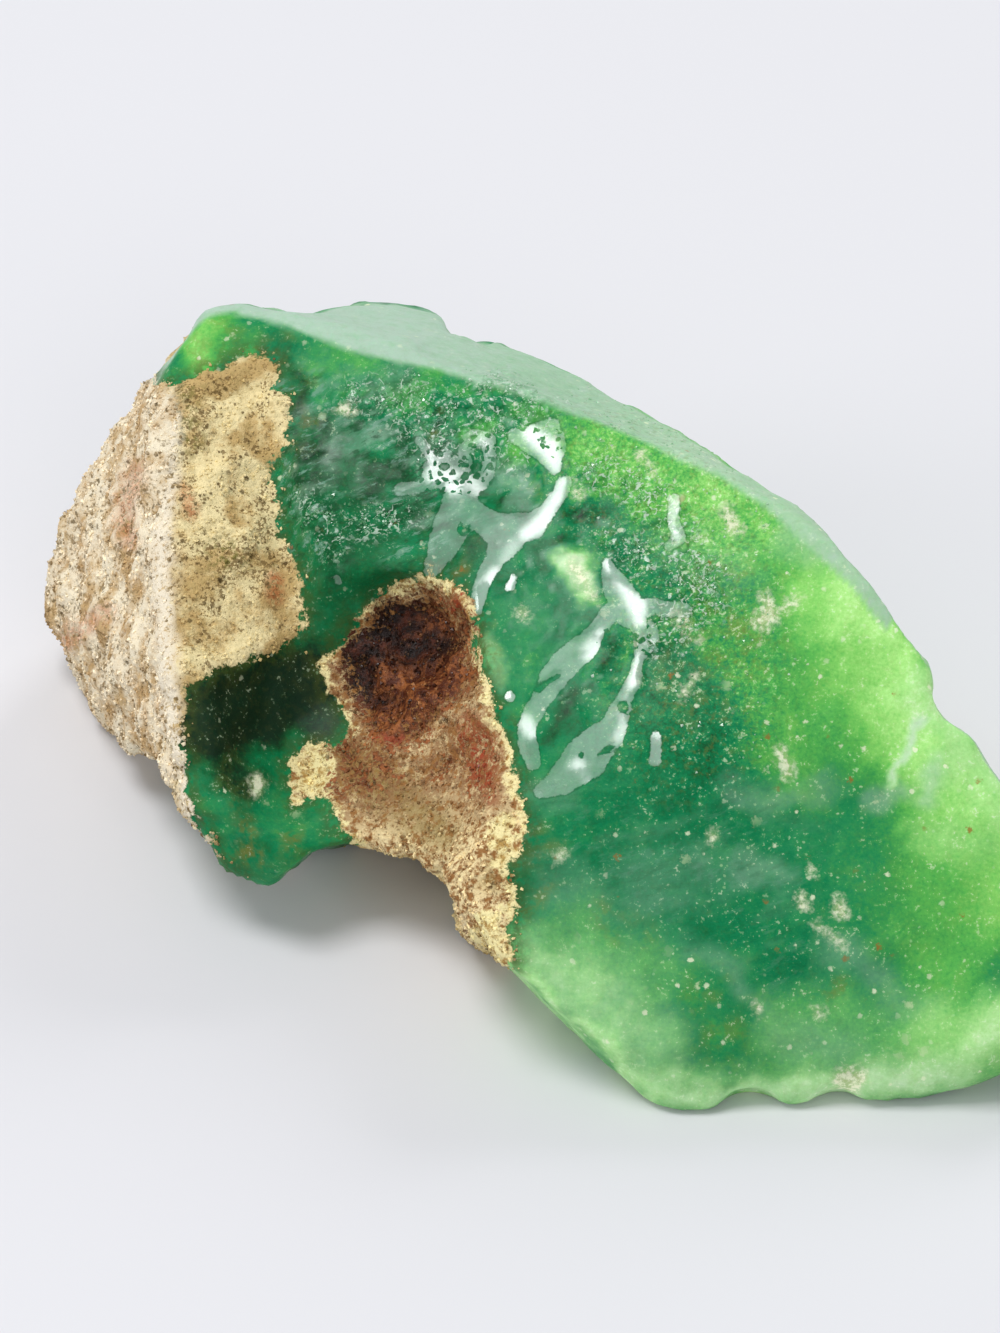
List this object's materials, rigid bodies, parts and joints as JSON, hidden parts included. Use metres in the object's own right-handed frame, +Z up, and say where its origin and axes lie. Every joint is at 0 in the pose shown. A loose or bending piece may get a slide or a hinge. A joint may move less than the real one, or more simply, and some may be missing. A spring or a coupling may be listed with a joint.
{
  "type": "raw chrysoprase",
  "caption": "Palm-sized lump of raw translucent green chrysoprase with a tan weathered crust at one end and a brown iron-stained pocket, resting on its flat underside.",
  "frame": {"origin": "middle of the bottom of the stone's bounding box, on the surface it rests on", "axes": "+X along the length, from the crusted end to the pale green tip; +Y to the back; +Z up"},
  "size_m": [0.0698, 0.0588, 0.0279],
  "materials": {
    "chrysoprase": "wet-looking, glossy broken faces with a rough tan crust"
  },
  "bodies": {
    "root": {"chrysoprase": "chrysoprase"}
  },
  "joints": []
}
